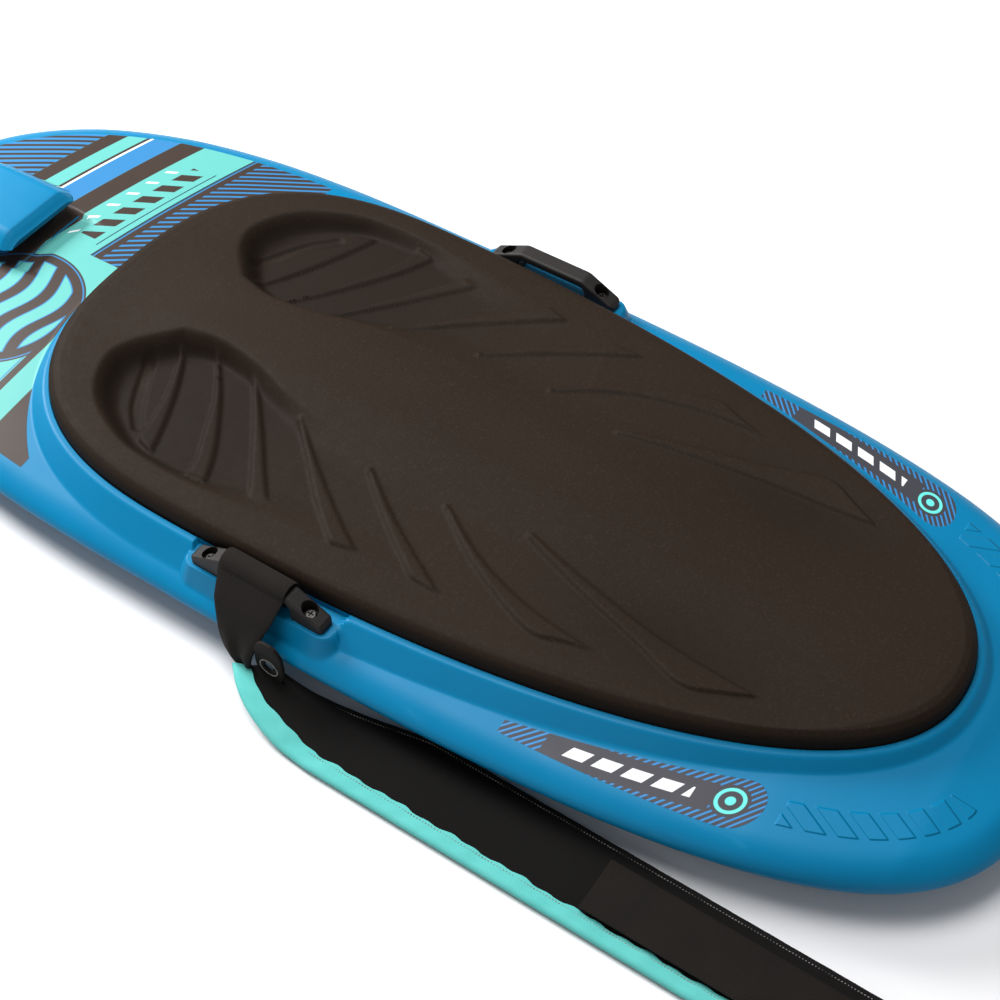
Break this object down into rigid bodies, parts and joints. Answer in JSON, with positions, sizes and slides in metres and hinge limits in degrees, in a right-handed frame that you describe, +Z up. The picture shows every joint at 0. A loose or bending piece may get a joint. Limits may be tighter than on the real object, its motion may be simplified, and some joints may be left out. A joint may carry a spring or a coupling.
{
  "type": "kneeboard",
  "caption": "Towed kneeboard: moulded hollow hull with tow hook, contoured foam knee pad, strap brackets and a padded strap lying beside it.",
  "frame": {"origin": "on the hull's flat bottom, at the middle of its length and width", "axes": "+Y to the nose, +X to the rider's right, +Z up out of the knee pad"},
  "size_m": [0.5881, 1.32, 0.1023],
  "materials": {
    "shell": "satin moulded polyethylene",
    "core_foam": "foam",
    "pad_foam": "smooth skinned foam",
    "plug": "satin",
    "seal": "matte",
    "bracket": "fine moulded grain",
    "screw": "bright stainless",
    "insert": "machined",
    "webbing": "ribbed weave",
    "webbing_loop": "ribbed weave",
    "strap_backing": "knit",
    "strap_foam": "foam",
    "strap_facing": "fine weave",
    "light_binding": "smooth stretch binding",
    "dark_binding": "smooth stretch binding",
    "loop_pile": "soft pile",
    "hook_pile": "stiff hooks"
  },
  "bodies": {
    "board": {"hull_shell": "shell", "foam_core": "core_foam", "knee_pad": "pad_foam", "fill_plug": "plug", "plug_seal": "seal", "strap_bracket_left": "bracket", "strap_bracket_right": "bracket", "bracket_screws_left": "screw", "bracket_screws_right": "screw", "bracket_inserts_left": "insert", "bracket_inserts_right": "insert"},
    "strap": {"strap_loop": "webbing", "pull_loop": "webbing_loop", "strap_backing": "strap_backing", "strap_foam": "strap_foam", "strap_facing": "strap_facing", "strap_outer_binding": "light_binding", "strap_inner_binding": "dark_binding", "end_webbing": "webbing", "loop_patch": "loop_pile"},
    "flap": {"hook_patch": "hook_pile", "closing_flap": "webbing"}
  },
  "joints": [
    {"name": "strap_swing", "type": "hinge", "parent": "board", "child": "strap", "pos_m": [-0.2335, -0.02, 0.0905], "axis": [0, 1, 0], "range_deg": [0, 170]},
    {"name": "flap_open", "type": "hinge", "parent": "strap", "child": "flap", "pos_m": [-0.283, -0.641, 0.01235], "axis": [1, 0, 0], "range_deg": [0, 180]}
  ]
}
